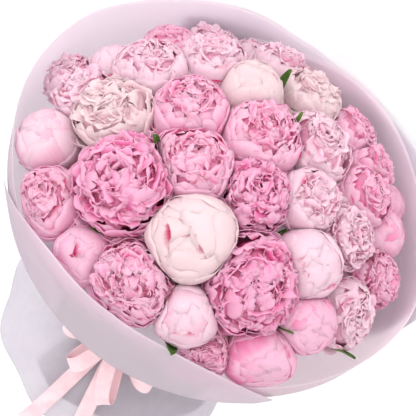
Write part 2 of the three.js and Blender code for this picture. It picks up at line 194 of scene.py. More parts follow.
def petal_finish(name, edge, middle, heart, accent, accent_share, recess_shade_accent):
    """Petals: pale at the edge, deeper towards the foot, veined, with a painted shade of saturated pink deep
    inside the bloom, and on a few a bright margin.
    """
    shader = Shader(name)
    form = shader.attribute("petal_form").outputs["Color"]
    form = shader.node("ShaderNodeSeparateColor", {"Color": form})
    along, across, chance = form.outputs[0], form.outputs[1], form.outputs[2]
    place = shader.attribute("petal_place").outputs["Color"]
    place = shader.node("ShaderNodeSeparateColor", {"Color": place})
    depth, tint, flush = place.outputs[0], place.outputs[1], place.outputs[2]
    where = shader.node("ShaderNodeTexCoord").outputs["Object"]
    vein_place = shader.node("ShaderNodeCombineXYZ", {
        "X": shader.math("MULTIPLY", across, 9.0), "Y": shader.math("MULTIPLY", along, 1.1),
        "Z": shader.math("MULTIPLY", chance, 40.0)}).outputs[0]
    veins = shader.noise(vein_place, 2.4, 3.0, 0.6)
    cloud = shader.noise(where, 55.0, 3.0)
    fade = shader.math("ADD", along, shader.math("MULTIPLY", shader.math("SUBTRACT", veins, 0.5), 0.35))
    fade = shader.math("ADD", fade, shader.math("MULTIPLY", shader.math("SUBTRACT", cloud, 0.5), 0.3), True)
    variety = shader.math("MULTIPLY", shader.math("SUBTRACT", chance, 0.5), 0.5)
    fade = shader.math("ADD", fade, variety, True)
    body = shader.ramp(fade, [(0.12, heart), (0.45, middle), (0.8, edge)])
    body = shader.mix(shader.math("MULTIPLY", tint, 0.4, True), body, middle)
    tipless = shader.math("SUBTRACT", 1.0, shader.math("POWER", along, 6.0))
    flushed = shader.math("MULTIPLY", shader.math("MULTIPLY", flush, tipless), 0.7, True)
    body = shader.mix(flushed, body, heart)
    rim = shader.ramp(shader.math("MAXIMUM", along, across), [(0.86, (0, 0, 0)), (0.99, (1, 1, 1))])
    body = shader.mix(shader.math("MULTIPLY", rim, 0.75), body, edge)
    # Painted shade: petal parts deep inside the bloom are drawn towards a saturated heart-to-accent pink.
    # This is partly the heart's own deeper colour and partly the shade of its recesses.
    painted_recess_shade = shader.math("MULTIPLY", shader.math("SUBTRACT", 0.92, depth, True), 2.6, True)
    body = shader.mix(painted_recess_shade, body, shader.mix(recess_shade_accent, heart, accent))
    lucky = shader.math("GREATER_THAN", chance, 1.0 - accent_share)
    patch = shader.ramp(shader.noise(where, 42.0, 2.0), [(0.42, (0, 0, 0)), (0.6, (1, 1, 1))])
    margin = shader.math("MAXIMUM", along, across)
    waver = shader.math("MULTIPLY", shader.math("SUBTRACT", veins, 0.5), 0.05)
    margin = shader.math("ADD", margin, waver)
    margin = shader.ramp(margin, [(0.89, (0, 0, 0)), (0.99, (1, 1, 1))])
    flame = shader.math("MULTIPLY", shader.math("MULTIPLY", margin, lucky), patch)
    body = shader.mix(flame, body, accent)
    bump = shader.node("ShaderNodeBump", {"Height": veins, "Strength": 0.22, "Distance": 0.0012})
    glow = shader.mix(0.5, body, middle)
    surface = leafy_surface(shader, body, glow, 0.62, bump.outputs[0], 0.56)
    return shader.finish(surface)


# Each finish: edge, middle, heart and accent colours, the share of petals with an accent margin, and how far
# the painted recess shade leans from heart to accent.
PETALS = {
    "ivory_petals": petal_finish(
        "ivory_petals", linear((253, 240, 242)), linear((250, 230, 235)), linear((246, 200, 216)),
        linear((214, 44, 110)), 0.07, 0.0),
    "blush_petals": petal_finish(
        "blush_petals", linear((255, 240, 247)), linear((252, 216, 232)), linear((244, 154, 198)),
        linear((220, 48, 126)), 0.2, 0.1),
    "pink_petals": petal_finish(
        "pink_petals", linear((255, 230, 244)), linear((253, 174, 216)), linear((240, 92, 168)),
        linear((214, 32, 118)), 0.22, 0.2),
    "rose_petals": petal_finish(
        "rose_petals", linear((255, 222, 242)), linear((250, 150, 207)), linear((234, 70, 158)),
        linear((202, 24, 112)), 0.16, 0.2),
}


def green_finish(name, light, dark, roughness):
    shader = Shader(name)
    where = shader.node("ShaderNodeTexCoord").outputs["Object"]
    cloud = shader.noise(where, 60.0, 4.0)
    fine = shader.noise(where, 700.0, 2.0)
    color = shader.ramp(cloud, [(0.3, dark), (0.7, light)])
    bump = shader.node("ShaderNodeBump", {"Height": fine, "Strength": 0.2, "Distance": 0.0006})
    return shader.finish(leafy_surface(shader, color, light, roughness, bump.outputs[0], 0.12))


LEAF_GREEN = green_finish("leaf_green", linear((98, 132, 52)), linear((52, 88, 34)), 0.42)
STEM_GREEN = green_finish("stem_green", linear((122, 146, 78)), linear((96, 112, 56)), 0.5)


def paper_finish(name, light, shade, through, share, crease):
    """Matt wrapping paper with a fine tooth and soft crumple marks."""
    shader = Shader(name)
    where = shader.node("ShaderNodeTexCoord").outputs["Object"]
    broad = shader.noise(where, 7.0, 2.0)
    tooth = shader.noise(where, 900.0, 2.0)
    crumple = shader.noise(where, 26.0, 3.0, 0.6)
    color = shader.ramp(broad, [(0.25, shade), (0.75, light)])
    creased = shader.math("MULTIPLY", crumple, crease)
    height = shader.math("ADD", shader.math("MULTIPLY", tooth, 0.05), creased)
    bump = shader.node("ShaderNodeBump", {"Height": height, "Strength": 0.5, "Distance": 0.002})
    return shader.finish(leafy_surface(shader, color, through, 0.72, bump.outputs[0], share))


LILAC_PAPER = paper_finish(
    "lilac_paper", linear((240, 233, 239)), linear((232, 225, 231)), linear((251, 244, 249)), 0.67, 0.12)
ROSE_PAPER = paper_finish(
    "rose_paper", linear((248, 239, 244)), linear((243, 232, 239)), linear((254, 245, 249)), 0.68, 0.12)
GREY_PAPER = paper_finish(
    "grey_paper", linear((232, 228, 234)), linear((222, 217, 225)), linear((236, 230, 236)), 0.5, 0.2)
# Painted shade: the skirt paper's dark taupe stands in for the shade under the collar of the wrap.
PAINTED_SHADE_PAPER = paper_finish(
    "taupe_paper", linear((186, 170, 172)), linear((160, 144, 148)), linear((180, 160, 162)), 0.25, 0.3)


def film_finish():
    """Milky film: part of the light goes straight through it, and its crumples shine."""
    shader = Shader("film")
    where = shader.node("ShaderNodeTexCoord").outputs["Object"]
    crumple = shader.noise(where, 9.0, 3.0, 0.5)
    cloud = shader.noise(where, 4.0, 1.0)
    color = shader.ramp(cloud, [(0.3, linear((204, 197, 206))), (0.7, linear((228, 222, 230)))])
    bump = shader.node("ShaderNodeBump", {"Height": crumple, "Strength": 0.8, "Distance": 0.02})
    milk = leafy_surface(shader, color, linear((226, 220, 228)), 0.28, bump.outputs[0], 0.4)
    clear = shader.node("ShaderNodeBsdfTransparent").outputs[0]
    share = shader.ramp(crumple, [(0.35, (0.34, 0.34, 0.34)), (0.65, (0.14, 0.14, 0.14))])
    return shader.finish(shader.node("ShaderNodeMixShader", {0: share, 1: milk, 2: clear}).outputs[0])


FILM = film_finish()


def satin_finish():
    shader = Shader("satin")
    where = shader.node("ShaderNodeTexCoord").outputs["Object"]
    cloud = shader.noise(where, 40.0, 2.0)
    threads = shader.noise(where, 2200.0, 1.0)
    color = shader.ramp(cloud, [(0.3, linear((236, 196, 204))), (0.7, linear((246, 214, 219)))])
    bump = shader.node("ShaderNodeBump", {"Height": threads, "Strength": 0.12, "Distance": 0.0004})
    cloth = shader.node("ShaderNodeBsdfPrincipled", {
        "Base Color": color, "Roughness": 0.34, "Normal": bump.outputs[0], "Sheen Weight": 0.4,
        "Sheen Roughness": 0.4, "Anisotropic": 0.5})
    return shader.finish(cloth.outputs[0])


SATIN = satin_finish()


def twine_finish():
    shader = Shader("jute")
    where = shader.node("ShaderNodeTexCoord").outputs["Object"]
    fibres = shader.noise(where, 900.0, 4.0, 0.7)
    color = shader.ramp(fibres, [(0.3, linear((140, 112, 76))), (0.7, linear((196, 170, 126)))])
    bump = shader.node("ShaderNodeBump", {"Height": fibres, "Strength": 0.5, "Distance": 0.0008})
    cord = shader.node("ShaderNodeBsdfPrincipled", {
        "Base Color": color, "Roughness": 0.9, "Normal": bump.outputs[0]})
    return shader.finish(cord.outputs[0])


JUTE = twine_finish()


# ---- meshes ------------------------------------------------------------------------------------------
def add_mesh(name, vertices, faces, material, attributes=None):
    mesh = bpy.data.meshes.new(name)
    mesh.from_pydata(np.asarray(vertices).tolist(), [], np.asarray(faces).tolist())
    for key, values in (attributes or {}).items():
        layer = mesh.attributes.new(key, "FLOAT_COLOR", "POINT")
        colors = np.concatenate([values, np.ones((len(values), 1))], axis=1)
        layer.data.foreach_set("color", colors.astype(np.float32).ravel())
    mesh.polygons.foreach_set("use_smooth", [True] * len(mesh.polygons))
    mesh.materials.append(material)
    mesh.update()
    piece = bpy.data.objects.new(name, mesh)
    bpy.context.scene.collection.objects.link(piece)
    return piece


def add_solid(name, vertices, faces, material):
    """A mesh from faces of any number of corners, its normals turned outwards."""
    mesh = bpy.data.meshes.new(name)
    mesh.from_pydata(np.asarray(vertices).tolist(), [], faces)
    shape = bmesh.new()
    shape.from_mesh(mesh)
    bmesh.ops.recalc_face_normals(shape, faces=shape.faces)
    shape.to_mesh(mesh)
    shape.free()
    mesh.polygons.foreach_set("use_smooth", [True] * len(mesh.polygons))
    mesh.materials.append(material)
    piece = bpy.data.objects.new(name, mesh)
    bpy.context.scene.collection.objects.link(piece)
    return piece


def grid_shell_faces(rows, columns):
    """Faces of a closed thin shell: a front grid, a back grid and the rim between them."""
    index = np.arange(rows * columns).reshape(rows, columns)
    a, b, c, d = index[:-1, :-1], index[:-1, 1:], index[1:, 1:], index[1:, :-1]
    front = np.stack([a, b, c, d], -1).reshape(-1, 4)
    back = front[:, ::-1] + rows * columns
    loop = np.concatenate([index[0, :], index[1:, -1], index[-1, -2::-1], index[-2:0:-1, 0]])
    after = np.roll(loop, -1)
    rim = np.stack([after, loop, loop + rows * columns, after + rows * columns], -1)
    return np.concatenate([front, back, rim])


def grid_normals(grid):
    """Unit normals of a batch of grids shaped (..., rows, columns, 3)."""
    down = np.gradient(grid, axis=-3)
    right = np.gradient(grid, axis=-2)
    normal = np.cross(right, down)
    return normal / np.maximum(np.linalg.norm(normal, axis=-1, keepdims=True), 1e-12)


def shells(grids, thickness):
    """Vertices and faces of many thin shells, one around each grid of a batch."""
    count, rows, columns = grids.shape[:3]
    normal = grid_normals(grids) * thickness / 2
    points = np.concatenate(
        [(grids + normal).reshape(count, -1, 3), (grids - normal).reshape(count, -1, 3)], axis=1)
    each = grid_shell_faces(rows, columns)
    offsets = np.arange(count)[:, None, None] * 2 * rows * columns
    return points.reshape(-1, 3), (each[None] + offsets).reshape(-1, 4)


# ---- peony heads ---------------------------------------------------------------------------------------
LEAN_CENTRE = 80 * MM
PETAL_THICKNESS = 0.5 * MM


class Head:
    """Where one bloom sits, and how far its solid reaches in every direction."""

    LATITUDES = 19
    LONGITUDES = 36

    def __init__(self, name):
        self.name = name
        self.form, self.number = name.split("_")[1:3]
        cad = frame["nodes"][name].data
        points = to_bunch(node_points(name))
        faces = [tuple(p.vertices) for p in cad.polygons]
        top = points[:, 2] > 0.5 * points[:, 2].max()
        solid = [f for f in faces if all(top[list(f)])]
        corners = points[np.array(solid)]
        areas = np.linalg.norm(np.cross(corners[:, 1] - corners[:, 0], corners[:, 2] - corners[:, 0]), axis=1)
        self.centre = (corners.mean(1) * areas[:, None]).sum(0) / areas.sum()
        axis = self.centre - np.array([0, 0, LEAN_CENTRE])
        self.axis = axis / np.linalg.norm(axis)
        side = np.cross([0.0, 0.0, 1.0], self.axis)
        length = np.linalg.norm(side)
        side = side / length if length > 1e-6 else np.array([1.0, 0, 0])
        self.turn = np.array([side, np.cross(self.axis, side), self.axis])
        tree = BVHTree.FromPolygons([Vector(p) for p in points], faces)
        self.reach = self.cast(tree)
        self.radius = float(np.median(self.reach[4:12]))
        self.stem = [points[np.abs(points[:, 2] - points[:, 2].min()) < 1 * MM].mean(0),
                     points[np.abs(points[:, 2]) < 3 * MM].mean(0)]

    def cast(self, tree):
        reach = np.zeros((self.LATITUDES, self.LONGITUDES))
        for i in range(self.LATITUDES):
            polar = math.pi * i / (self.LATITUDES - 1)
            for j in range(self.LONGITUDES):
                turn = 2 * math.pi * j / self.LONGITUDES
                local = np.array([math.sin(polar) * math.cos(turn), math.sin(polar) * math.sin(turn),
                                  math.cos(polar)])
                hit = tree.ray_cast(Vector(self.centre), Vector(local @ self.turn))
                reach[i, j] = hit[3] if hit[0] is not None else np.nan
        usual = np.nanmedian(reach)
        reach = np.clip(np.nan_to_num(reach, nan=usual), 0.45 * usual, 1.25 * usual)
        for _ in range(3):
            around = (np.roll(reach, 1, 1) + np.roll(reach, -1, 1)) / 2
            above = (np.vstack([reach[:1], reach[:-1]]) + np.vstack([reach[1:], reach[-1:]])) / 2
            reach = 0.5 * reach + 0.25 * around + 0.25 * above
            reach[0] = reach[0].mean()
            reach[-1] = reach[-1].mean()
        return reach

    def place(self, points):
        """From the unit ball that petals are drawn in to the real, pressed bloom."""
        length = np.maximum(np.linalg.norm(points, axis=-1), 1e-9)
        polar = np.arccos(np.clip(points[..., 2] / length, -1, 1)) / math.pi * (self.LATITUDES - 1)
        turn = np.arctan2(points[..., 1], points[..., 0]) / (2 * math.pi) % 1 * self.LONGITUDES
        i = np.clip(polar.astype(int), 0, self.LATITUDES - 2)
        j = turn.astype(int) % self.LONGITUDES
        k = (j + 1) % self.LONGITUDES
        u, v = polar - i, turn - np.floor(turn)
        reach = ((1 - u) * ((1 - v) * self.reach[i, j] + v * self.reach[i, k])
                 + u * ((1 - v) * self.reach[i + 1, j] + v * self.reach[i + 1, k]))
        return self.centre + (points * reach[..., None]) @ self.turn


def smoothstep(values, low, high):
    share = np.clip((np.asarray(values) - low) / (high - low), 0, 1)
    return share * share * (3 - 2 * share)


def smooth_line(points, share):
    """A Catmull-Rom curve through points, read at the given shares of its length."""
    points = np.asarray(points, float)
    padded = np.vstack([2 * points[0] - points[1], points, 2 * points[-1] - points[-2]])
    place = np.clip(share, 0, 1) * (len(points) - 1)
    i = np.clip(place.astype(int), 0, len(points) - 2)
    t = (place - i)[..., None]
    a, b, c, d = (padded[i + n] for n in range(4))
    return 0.5 * (2 * b + (c - a) * t + (2 * a - 5 * b + 4 * c - d) * t**2 + (3 * b - a - 3 * c + d) * t**3)


def turn_about_z(angle):
    c, s = math.cos(angle), math.sin(angle)
    return np.array([[c, s, 0], [-s, c, 0], [0, 0, 1]])


def lean_from_z(angle):
    """Rows that tip +Z towards +X."""
    c, s = math.cos(angle), math.sin(angle)
    return np.array([[c, 0, -s], [0, 1, 0], [s, 0, c]])


def petal_grid(rows, columns, line, half_width, hug, rng, foot=0.35, round_tip=0.3, notch=0.0, ruffle=0.0,
               waves=3.0):
    """One petal along a line in its own XZ plane, its cross section an arc of radius hug."""
    s = np.linspace(-1, 1, columns)[None, :] * np.ones((rows, 1))
    t = np.linspace(0, 1, rows)[:, None] * np.ones((1, columns))
    phase = rng.uniform(0, 2 * math.pi, 6)
    ragged = (np.sin(3.1 * s * math.pi + phase[0]) + 0.7 * np.sin(5.3 * s * math.pi + phase[1])
              + 0.5 * np.sin(9.7 * s * math.pi + phase[2])) / 2.2
    cleft = np.exp(-((s - 0.25 * math.sin(phase[3])) / 0.13) ** 2)
    length = 1 - round_tip * np.abs(s) ** 2.6 - notch * (0.55 * ragged**2 + 0.5 * cleft)
    place = t * np.maximum(length, 0.3)
    centre = smooth_line(line, place)
    beyond = smooth_line(line, np.minimum(place + 0.02, 1.0))
    ahead = beyond - smooth_line(line, np.maximum(place - 0.02, 0.0))
    ahead = ahead / np.maximum(np.linalg.norm(ahead, axis=-1, keepdims=True), 1e-9)
    out = np.stack([ahead[..., 1], -ahead[..., 0]], -1)
    width = half_width * (foot + (1 - foot) * np.sin(np.minimum(t / 0.62, 1) * math.pi / 2))
    bend = s * width / hug
    lift = ruffle * t**1.6 * (0.35 + 0.65 * np.abs(s)) * (
        np.sin(waves * math.pi * s + phase[4] + 1.4 * np.sin(3 * t + phase[5]))
        + 0.45 * np.sin(2.3 * waves * math.pi * s + phase[1]))
    x = centre[..., 0] + out[..., 0] * (lift - hug * (1 - np.cos(bend)))
    z = centre[..., 1] + out[..., 1] * (lift - hug * (1 - np.cos(bend)))
    y = hug * np.sin(bend)
    grid = np.stack([x, y, z], -1)
    form = np.stack([place, np.abs(s), np.full_like(s, rng.uniform())], -1)
    return grid, form


def ball_line(radius, low, high, tip_lift=0.0):
    """A line up the side of a ball, from polar angle low to high, in degrees from the crown."""
    share = np.linspace(0, 1, 7)
    polar = np.radians(low + (high - low) * share)
    reach = radius + tip_lift * share**4
    reach[0] *= 0.92
    return np.stack([reach * np.sin(polar), reach * np.cos(polar)], -1)


WIDE = (13, 13)  # rows and columns of a broad petal's grid
NARROW = (10, 12)  # and of an inner petal's
PETALOID_FOOT = 0.45  # inner petals start this share of the radius from the heart
PETALOID_LOBE = 0.24  # how far their tips fold over


class Bloom:
    """Collects the petals of one head in the unit ball, then builds them as one mesh."""

    def __init__(self, head, seed):
        self.head = head
        self.rng = np.random.default_rng(seed)
        self.batches = {WIDE: [], NARROW: []}

    def add(self, size, grid, form, tint, flush, turn):
        place = np.zeros_like(form)
        grid = grid @ turn
        place[..., 0] = np.linalg.norm(grid, axis=-1)
        place[..., 1] = tint
        place[..., 2] = flush
        self.batches[size].append((grid, form, place))

    def whorl(self, count, radius, tip, width, start=0.0, spread=6.0, tint=0.0, flush=0.0, lift=0.0, **shape):
        """Broad petals that wrap the ball side by side, their tips at a polar angle."""
        for k in range(count):
            rng = self.rng
            high = tip + rng.uniform(-spread, spread)
            line = ball_line(radius * rng.uniform(0.985, 1.01), 168, high, lift * rng.uniform(0.4, 1.2))
            options = {"notch": 0.08, "ruffle": 0.03, "waves": 2.2, "round_tip": 0.25, **shape}
            grid, form = petal_grid(*WIDE, line, width * rng.uniform(0.9, 1.1), radius, rng, **options)
            angle = start + 2 * math.pi * (k + rng.uniform(-0.12, 0.12)) / count
            self.add(WIDE, grid, form, tint + rng.uniform(-0.2, 0.3), flush * rng.uniform(0, 1),
                     turn_about_z(angle))

    def tuft(self, count, widest, outer, width, flush, ruffle=0.042):
        """Crowded inner petals: they stand on edge round the heart and cup towards it at their tips."""
        golden = math.pi * (3 - math.sqrt(5))
        for k in range(count):
            rng = self.rng
            polar = math.radians(widest) * math.sqrt((k + 0.5) / count) + rng.uniform(-0.06, 0.06)
            top = outer * rng.uniform(0.9, 1.04)
            fold = PETALOID_LOBE * rng.normal(-0.35, 0.75)
            line = [(0.05, PETALOID_FOOT), (0.06, 0.5 * (PETALOID_FOOT + top)), (0.03, 0.84 * top),
                    (0.45 * fold, 0.97 * top), (fold, (1.0 - 0.3 * abs(fold)) * top)]
            grid, form = petal_grid(
                *NARROW, line, width * rng.uniform(0.6, 1.25), rng.uniform(0.35, 1.1), rng, foot=0.4,
                round_tip=0.28, notch=0.18, ruffle=ruffle, waves=rng.uniform(1.6, 2.6))
            form[..., 0] = 0.35 + 0.65 * form[..., 0]
            roll = turn_about_z(rng.normal(0, 0.5))
            turn = roll @ lean_from_z(polar) @ turn_about_z(-k * golden)
            self.add(NARROW, grid, form, rng.uniform(-0.2, 0.3), flush * rng.uniform(0, 1), turn)

    def build(self, material):
        vertices, faces, forms, places = [], [], [], []
        offset = 0
        for batch in self.batches.values():
            if not batch:
                continue
            grids = self.head.place(np.stack([b[0] for b in batch]))
            points, quads = shells(to_world(grids), PETAL_THICKNESS)
            vertices.append(points)
            faces.append(quads + offset)
            offset += len(points)
            for store, part in ((forms, 1), (places, 2)):
                values = np.stack([b[part] for b in batch])
                flat = values.reshape(len(batch), -1, 3)
                store.append(np.concatenate([flat, flat], axis=1).reshape(-1, 3))
        attributes = {"petal_form": np.concatenate(forms), "petal_place": np.concatenate(places)}
        return add_mesh(f"petals_{self.head.number}", np.concatenate(vertices), np.concatenate(faces),
                        material, attributes)


def bud(bloom):
    bloom.whorl(3, 0.93, -36, 1.2, start=0.4, tint=0.2)
    bloom.whorl(4, 0.96, -6, 1.1, start=1.1, spread=12, lift=0.006)
    bloom.whorl(4, 0.975, 24, 0.85, start=0.6, spread=16, lift=0.012, ruffle=0.03, notch=0.14, flush=0.2)
    bloom.whorl(4, 0.99, 40, 0.9, start=0.2, spread=16, lift=0.014, ruffle=0.03, notch=0.12)
    bloom.whorl(4, 1.0, 72, 0.85, start=0.9, spread=18, lift=0.012, ruffle=0.02, notch=0.1)


def goblet(bloom):
    bloom.whorl(5, 0.82, 14, 0.9, flush=0.9)
    bloom.tuft(60, 48, outer=0.95, width=0.3, flush=0.45)
    bloom.whorl(8, 0.93, 40, 0.5, start=0.5, spread=8, flush=0.3, ruffle=0.05, notch=0.16, waves=2.6)
    bloom.whorl(7, 0.965, 50, 0.62, spread=9, ruffle=0.04, notch=0.12)
    bloom.whorl(5, 0.985, 60, 0.85, start=0.7, spread=12, lift=0.01, ruffle=0.03)
    bloom.whorl(6, 1.0, 84, 0.8, start=0.4, spread=14, lift=0.05, ruffle=0.03)


def ruffled(bloom):
    bloom.whorl(5, 0.8, 14, 0.9, flush=0.9)
    bloom.tuft(125, 76, outer=0.99, width=0.3, flush=0.4)
    bloom.whorl(9, 0.97, 70, 0.5, spread=9, lift=0.02, ruffle=0.06, notch=0.18, waves=2.8)
    bloom.whorl(8, 0.99, 80, 0.62, start=0.3, spread=9, lift=0.06, ruffle=0.06, notch=0.14)
    bloom.whorl(7, 1.0, 98, 0.72, start=0.6, spread=9, lift=0.2, ruffle=0.06)


def opened(bloom):
    bloom.whorl(5, 0.82, 14, 0.9, flush=0.8)
    bloom.tuft(56, 56, outer=0.97, width=0.42, ruffle=0.035, flush=0.2)
    bloom.whorl(8, 0.96, 54, 0.55, start=0.3, spread=10, lift=0.01, ruffle=0.05, notch=0.16, waves=2.6)
    bloom.whorl(8, 0.985, 68, 0.66, spread=12, lift=0.04, ruffle=0.05, notch=0.12)
    bloom.whorl(8, 1.0, 94, 0.76, start=0.6, spread=12, lift=0.22, ruffle=0.06)


def path_tree(name, material):
    """Geometry nodes that sweep a round section along a line of points."""
    tree = bpy.data.node_groups.new(name, "GeometryNodeTree")
    tree.interface.new_socket("Path", in_out="INPUT", socket_type="NodeSocketGeometry")
    tree.interface.new_socket("Radius", in_out="INPUT", socket_type="NodeSocketFloat")
    tree.interface.new_socket("Sides", in_out="INPUT", socket_type="NodeSocketInt")
    tree.interface.new_socket("Geometry", in_out="OUTPUT", socket_type="NodeSocketGeometry")
    enter, leave, line, section, sweep, real, dress = (tree.nodes.new(kind) for kind in (
        "NodeGroupInput", "NodeGroupOutput", "GeometryNodeMeshToCurve", "GeometryNodeCurvePrimitiveCircle",
        "GeometryNodeCurveToMesh", "GeometryNodeRealizeInstances", "GeometryNodeSetMaterial"))
    sweep.inputs["Fill Caps"].default_value = True
    dress.inputs["Material"].default_value = material
    for source, target in (
            (enter.outputs["Path"], line.inputs["Mesh"]), (enter.outputs["Radius"], section.inputs["Radius"]),
            (enter.outputs["Sides"], section.inputs["Resolution"]),
            (line.outputs["Curve"], sweep.inputs["Curve"]),
            (section.outputs["Curve"], sweep.inputs["Profile Curve"]),
            (sweep.outputs["Mesh"], real.inputs["Geometry"]),
            (real.outputs["Geometry"], dress.inputs["Geometry"]),
            (dress.outputs["Geometry"], leave.inputs["Geometry"])):
        tree.links.new(source, target)
    return tree


def path_piece(name, points, tree, radius, sides):
    """A piece swept along points; its modifier is still on it."""
    mesh = bpy.data.meshes.new(name)
    mesh.from_pydata(np.asarray(points).tolist(), [(i, i + 1) for i in range(len(points) - 1)], [])
    piece = bpy.data.objects.new(name, mesh)
    bpy.context.scene.collection.objects.link(piece)
    modifier = piece.modifiers.new("sweep", "NODES")
    modifier.node_group = tree
    sockets = {item.name: item.identifier for item in tree.interface.items_tree if item.in_out == "INPUT"}
    modifier[sockets["Radius"]] = radius
    modifier[sockets["Sides"]] = sides
    return piece


def made_plain(pieces):
    """Turn every piece's modifier into plain mesh."""
    graph = bpy.context.evaluated_depsgraph_get()
    meshes = [bpy.data.meshes.new_from_object(piece.evaluated_get(graph)) for piece in pieces]
    for piece, mesh in zip(pieces, meshes):
        piece.modifiers.clear()
        piece.data = mesh
        mesh.polygons.foreach_set("use_smooth", [True] * len(mesh.polygons))


STEM_RADIUS = 0.95 * 2.9 * MM  # a little slimmer than the CAD rod, so it stays inside it
STEM_SIDES = 10
STEM_TREE = path_tree("stem_along_path", STEM_GREEN)
LEAF_ROWS = 31

# The side of the bloom on which a peony keeps a leaf, in degrees round its stem.
LEAF_TURNS = {"07": 231, "12": 20, "18": 10, "25": 99, "28": 276, "33": 115}


def leaf_grid(head, rng):
    """A pointed leaf that rises from under the bloom and leans away past its side."""
    line = [(0.1, -0.95), (0.75, -0.72), (1.03, -0.1), (1.06, 0.4), (1.14, 0.86)]
    grid, _ = petal_grid(LEAF_ROWS, 9, line, 0.26, 0.5, rng, foot=0.3, round_tip=0.0, ruffle=0.015)
    share = np.linspace(0, 1, LEAF_ROWS)[:, None]
    slim = np.sqrt(np.clip(1 - share**2.2, 0, 1)) * (0.25 + 0.75 * smoothstep(share, 0.05, 0.5))
    grid[..., 1] *= slim
    turn = turn_about_z(math.radians(LEAF_TURNS[head.number]))
    side = grid @ turn
    side_axes = np.array([[1.0, 0, 0], [0, 1.0, 0]]) - np.outer(head.axis[:2], head.axis)
    side_axes[0] /= np.linalg.norm(side_axes[0])
    side_axes[1] = np.cross(head.axis, side_axes[0])
    return head.centre + (side @ np.array([side_axes[0], side_axes[1], head.axis])) * head.radius


def add_greens(head):
    """Stem, small sepals that hold the bloom from below, and a leaf where the node has one."""
    rng = np.random.default_rng(700 + int(head.number))
    base = head.centre - head.axis * head.radius * 0.62
    joint = head.stem[1]
    line = smooth_line([head.stem[0], joint, (joint + base) / 2, base], np.linspace(0, 1, 40))
    stem = path_piece(f"stem_{head.number}", to_world(line), STEM_TREE, STEM_RADIUS, STEM_SIDES)
    grids = []
    for k in range(5):
        high = rng.uniform(96, 122)
        path = ball_line(1.015, 176, high, 0.03)
        grid, _ = petal_grid(11, 7, path, rng.uniform(0.26, 0.36), 1.0, rng, foot=0.5, round_tip=0.55)
        grids.append(grid @ turn_about_z(2 * math.pi * k / 5 + rng.uniform(-0.3, 0.3)))
    points, quads = shells(to_world(head.place(np.stack(grids))), 0.7 * MM)
    sepals = add_mesh(f"sepals_{head.number}", points, quads, LEAF_GREEN)
    if head.number not in LEAF_TURNS:
        return [stem, sepals]
    points, quads = shells(to_world(leaf_grid(head, rng))[None], 0.6 * MM)
    return [stem, sepals, add_mesh(f"leaf_{head.number}", points, quads, LEAF_GREEN)]


FORMS = {"bud": bud, "goblet": goblet, "ruffled": ruffled, "open": opened}
slots = {part["node"]: part["material_slot"] for part in frame["record"]["subparts"]}
heads = [Head(name) for name in sorted(frame["nodes"]) if name.startswith("peony")]
grown = []
for head in heads:
    bloom = Bloom(head, int(head.number))
    FORMS[head.form](bloom)
    petals = bloom.build(PETALS[slots[head.name]])
    grown.append((head, petals, add_greens(head)))
made_plain([greens[0] for _, _, greens in grown])
for head, petals, greens in grown:
    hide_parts(head.name)
    for piece in [petals, *greens]:
        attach(piece, "root")


# ---- paper and film --------------------------------------------------------------------------------------
PAPER_THICKNESS = 0.35 * MM


def span_of(found):
    """First and last index of the run of True round a circle."""
    count = len(found)
    start = next(i for i in range(count) if found[i] and not found[i - 1])
    length = next(n for n in range(1, count) if not found[(start + n) % count])
    return start, start + length - 1


def smoothed(values, rounds, axis):
    """Values with each one drawn towards the mean of its neighbours, ends kept."""
    values = np.moveaxis(np.array(values, float), axis, 0)
    for _ in range(rounds):
        values[1:-1] = (values[:-2] + 2 * values[1:-1] + values[2:]) / 4
    return np.moveaxis(values, 0, axis)


class SheetRun:
    """Radius and height of one CAD sheet, read along rays out from the bunch's axis."""

    ROWS = 56
    STEP = 2.0  # degrees from one column to the next

    def __init__(self, name, middle, low, high):
        points = to_bunch(node_points(name))
        faces = [tuple(p.vertices) for p in frame["nodes"][name].data.polygons]
        self.tree = BVHTree.FromPolygons([Vector(p) for p in points], faces)
        turns = np.radians(np.arange(0, 360, 1.0))
        first, last = span_of([self.reach(a, middle) is not None for a in turns])
        columns = int((last - first) / self.STEP) + 1
        self.angle = np.radians(np.linspace(first, last, columns))
        heights = np.arange(low, high, 3 * MM)
        radius = np.zeros((self.ROWS, columns))
        height = np.zeros((self.ROWS, columns))
        ends = np.zeros((2, columns))
        tables = []
        for i, angle in enumerate(self.angle):
            table = [(z, self.reach(angle, z)) for z in heights]
            table = np.array([(z, r) for z, r in table if r is not None])
            tables.append(table)
            ends[:, i] = table[0, 0], table[-1, 0]
        ends = smoothed(ends, 3, 1)
        share = np.linspace(0, 1, self.ROWS)
        for i, table in enumerate(tables):
            height[:, i] = ends[0, i] + (ends[1, i] - ends[0, i]) * share
            radius[:, i] = np.interp(height[:, i], table[:, 0], table[:, 1])
        self.radius = smoothed(smoothed(radius, 8, 1), 3, 0)
        self.height = height

    def reach(self, angle, z):
        hit = self.tree.ray_cast(Vector((0, 0, z)), Vector((math.cos(angle), math.sin(angle), 0)))
        return None if hit[0] is None else hit[3]


def creases(angle, z, seed):
    """Sharp little gathers round the waist that fade into the smooth wall."""
    rng = np.random.default_rng(seed)
    wave = np.zeros_like(z)
    for _ in range(5):
        count = rng.integers(14, 34)
        wave += np.abs(np.sin(count * angle / 2 + rng.uniform(0, 6) + 3 * z)) - 0.64
    return wave / 2.2


def flutter(angle, z, seed):
    """Slow waves of the free edge, from 0 to 1."""
    rng = np.random.default_rng(seed)
    wave = np.zeros_like(z)
    for count, size in ((3, 0.5), (5, 0.3), (8, 0.2)):
        wave += size * np.sin(count * angle + rng.uniform(0, 6) + 4 * z)
    return 0.5 + 0.5 * wave


def lay_on_floor(points, above):
    """Points no lower than a height over the floor."""
    world = to_world(points)
    world[..., 2] = np.maximum(world[..., 2], above)
    return world


